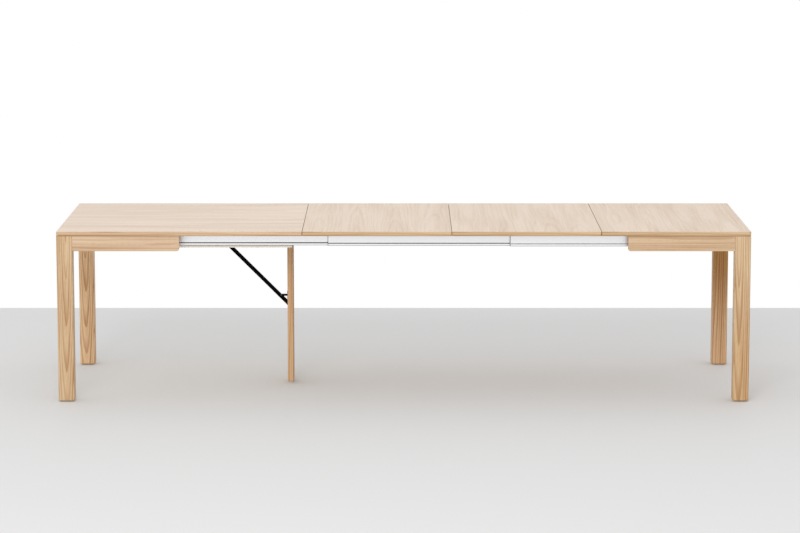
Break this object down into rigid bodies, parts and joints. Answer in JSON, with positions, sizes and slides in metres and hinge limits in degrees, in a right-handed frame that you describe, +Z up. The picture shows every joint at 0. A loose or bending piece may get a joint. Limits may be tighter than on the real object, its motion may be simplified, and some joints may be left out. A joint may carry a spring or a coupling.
{
  "type": "extending table",
  "caption": "Long extending wooden table with square corner legs, loose leaves on telescopic aluminium rails and a folding support leg held by a diagonal brace.",
  "frame": {"origin": "on the floor under the middle of the extended table", "axes": "+X along the table towards the sliding frame, +Y from the front edge to the rear edge, +Z up"},
  "size_m": [2.97, 0.95, 0.74],
  "materials": {
    "ash_veneer": "matt lacquer",
    "ash_solid": "matt lacquer",
    "beech_block": "raw",
    "beech_dowel": "raw",
    "pale_board": "matt",
    "rail_aluminium": "satin anodised",
    "black_steel": "satin black",
    "screw_steel": "zinc plated",
    "pale_plastic": "matt"
  },
  "bodies": {
    "left_frame": {"board_fitting_screws": "screw_steel", "brace_bracket": "black_steel", "brace_pin": "black_steel", "carrier_board": "pale_board", "carrier_board_screws": "screw_steel", "fixed_rail_plugs": "pale_plastic", "fixed_rail_screws": "screw_steel", "front_fixed_rail": "rail_aluminium", "front_left_apron": "ash_solid", "front_left_corner_block": "beech_block", "front_left_leg": "ash_solid", "hinge_board_leaf": "black_steel", "hinge_pin": "screw_steel", "left_block_screws": "screw_steel", "left_end_apron": "ash_solid", "left_end_dowels": "beech_dowel", "left_leg_glides": "pale_plastic", "main_top": "ash_veneer", "main_top_lipping": "ash_solid", "main_top_pins": "beech_dowel", "rear_fixed_rail": "rail_aluminium", "rear_left_apron": "ash_solid", "rear_left_corner_block": "beech_block", "rear_left_leg": "ash_solid"},
    "right_frame": {"front_right_leg": "ash_solid", "rear_right_leg": "ash_solid", "right_leg_glides": "pale_plastic", "front_right_apron": "ash_solid", "rear_right_apron": "ash_solid", "right_end_apron": "ash_solid", "right_end_dowels": "beech_dowel", "front_right_corner_block": "beech_block", "rear_right_corner_block": "beech_block", "right_block_screws": "screw_steel", "front_end_rail": "rail_aluminium", "rear_end_rail": "rail_aluminium", "end_rail_plugs": "pale_plastic", "rail_spacers": "beech_block", "rail_spacer_screws": "screw_steel"},
    "second_rails": {"front_second_rail": "rail_aluminium", "rear_second_rail": "rail_aluminium", "second_rail_plugs": "pale_plastic"},
    "third_rails": {"front_third_rail": "rail_aluminium", "rear_third_rail": "rail_aluminium", "third_rail_plugs": "pale_plastic"},
    "support_leg": {"support_leg": "ash_solid", "support_leg_glides": "pale_plastic", "hinge_leg_leaf": "black_steel", "brace_catch": "black_steel", "leg_fitting_screws": "screw_steel"},
    "brace": {"brace": "black_steel"},
    "leaf_1": {"leaf_1": "ash_veneer", "leaf_1_lipping": "ash_solid", "leaf_1_pins": "beech_dowel"},
    "leaf_2": {"leaf_2": "ash_veneer", "leaf_2_lipping": "ash_solid", "leaf_2_pins": "beech_dowel"},
    "leaf_3": {"leaf_3": "ash_veneer", "leaf_3_lipping": "ash_solid"}
  },
  "joints": [
    {"name": "extension", "type": "slide", "parent": "left_frame", "child": "right_frame", "axis": [1, 0, 0], "range_m": [-1.92, 0]},
    {"name": "second_rail_slide", "type": "slide", "parent": "left_frame", "child": "second_rails", "axis": [1, 0, 0], "range_m": [-0.4782, 0]},
    {"name": "third_rail_slide", "type": "slide", "parent": "left_frame", "child": "third_rails", "axis": [1, 0, 0], "range_m": [-1.1368, 0]},
    {"name": "leg_fold", "type": "hinge", "parent": "left_frame", "child": "support_leg", "pos_m": [-0.518, 0, 0.649], "axis": [0, 1, 0], "range_deg": [0, 90]},
    {"name": "brace_swing", "type": "hinge", "parent": "left_frame", "child": "brace", "pos_m": [-0.814, 0, 0.656], "axis": [0, 1, 0], "range_deg": [0, 135]},
    {"name": "leaf_1_lift", "type": "slide", "parent": "left_frame", "child": "leaf_1", "axis": [0, 0, 1], "range_m": [0, 0.2]},
    {"name": "leaf_2_lift", "type": "slide", "parent": "leaf_1", "child": "leaf_2", "axis": [0, 0, 1], "range_m": [0, 0.2]},
    {"name": "leaf_3_lift", "type": "slide", "parent": "leaf_2", "child": "leaf_3", "axis": [0, 0, 1], "range_m": [0, 0.2]}
  ],
  "couplings": [
    {"joint": "second_rail_slide", "follows": "extension", "ratio": 0.249},
    {"joint": "third_rail_slide", "follows": "extension", "ratio": 0.592},
    {"joint": "brace_swing", "follows": "leg_fold", "ratio": 1.5}
  ]
}
